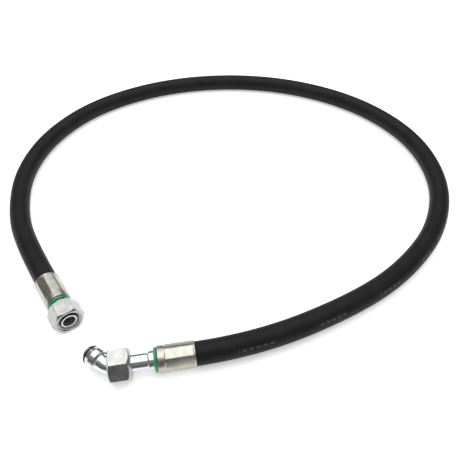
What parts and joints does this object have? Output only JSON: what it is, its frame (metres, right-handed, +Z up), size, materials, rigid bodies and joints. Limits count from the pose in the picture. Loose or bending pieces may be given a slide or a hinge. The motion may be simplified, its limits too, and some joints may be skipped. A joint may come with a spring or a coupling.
{
  "type": "hydraulic hose assembly",
  "caption": "Wire-braided hydraulic hose in an open loop, with a straight swivel-nut fitting on one end and a 45 degree elbow swivel-nut fitting on the other.",
  "frame": {"origin": "on the surface that the assembly lies on, at the middle of the elbow swivel nut's lower flat", "axes": "+Z up; +X along the elbow fitting's straight leg, from its nut towards the hose; the hose's loop opens towards +Y"},
  "size_m": [0.5199, 0.4981, 0.027],
  "materials": {
    "cover_rubber": "matt black rubber with a fine wrapped-cloth texture",
    "liner_rubber": "smooth black rubber",
    "braid_wire": "braided brass-coated wire",
    "zinc_bright": "bright blue-white zinc",
    "zinc_ferrule": "thin zinc with faint yellow and pink iridescence",
    "zinc_nut": "satin silver zinc",
    "green_rubber": "glossy green rubber",
    "black_rubber": "smooth black rubber",
    "braze_metal": "braze under bright zinc"
  },
  "bodies": {
    "hose_assembly": {"hose_liner": "liner_rubber", "hose_inner_braid": "braid_wire", "hose_interlayer": "liner_rubber", "hose_outer_braid": "braid_wire", "hose_cover": "cover_rubber", "straight_insert": "zinc_bright", "straight_ferrule": "zinc_ferrule", "straight_marking_ring": "green_rubber", "straight_cone_o_ring": "black_rubber", "elbow_tail_insert": "zinc_bright", "elbow_ferrule": "zinc_ferrule", "elbow_marking_ring": "green_rubber", "elbow_bent_tube": "zinc_bright", "elbow_tail_braze": "braze_metal", "elbow_cone_head": "zinc_bright", "elbow_head_braze": "braze_metal", "elbow_cone_o_ring": "black_rubber"},
    "straight_nut": {"straight_swivel_nut": "zinc_nut"},
    "elbow_nut": {"elbow_swivel_nut": "zinc_nut"}
  },
  "joints": [
    {"name": "straight_nut_turn", "type": "hinge", "parent": "hose_assembly", "child": "straight_nut", "pos_m": [-0.04446, 0.05282, 0.0135], "axis": [0.4151, -0.9098, 0], "continuous": true},
    {"name": "elbow_nut_turn", "type": "hinge", "parent": "hose_assembly", "child": "elbow_nut", "pos_m": [0, 0, 0.0135], "axis": [-1, 0, 0], "continuous": true}
  ]
}
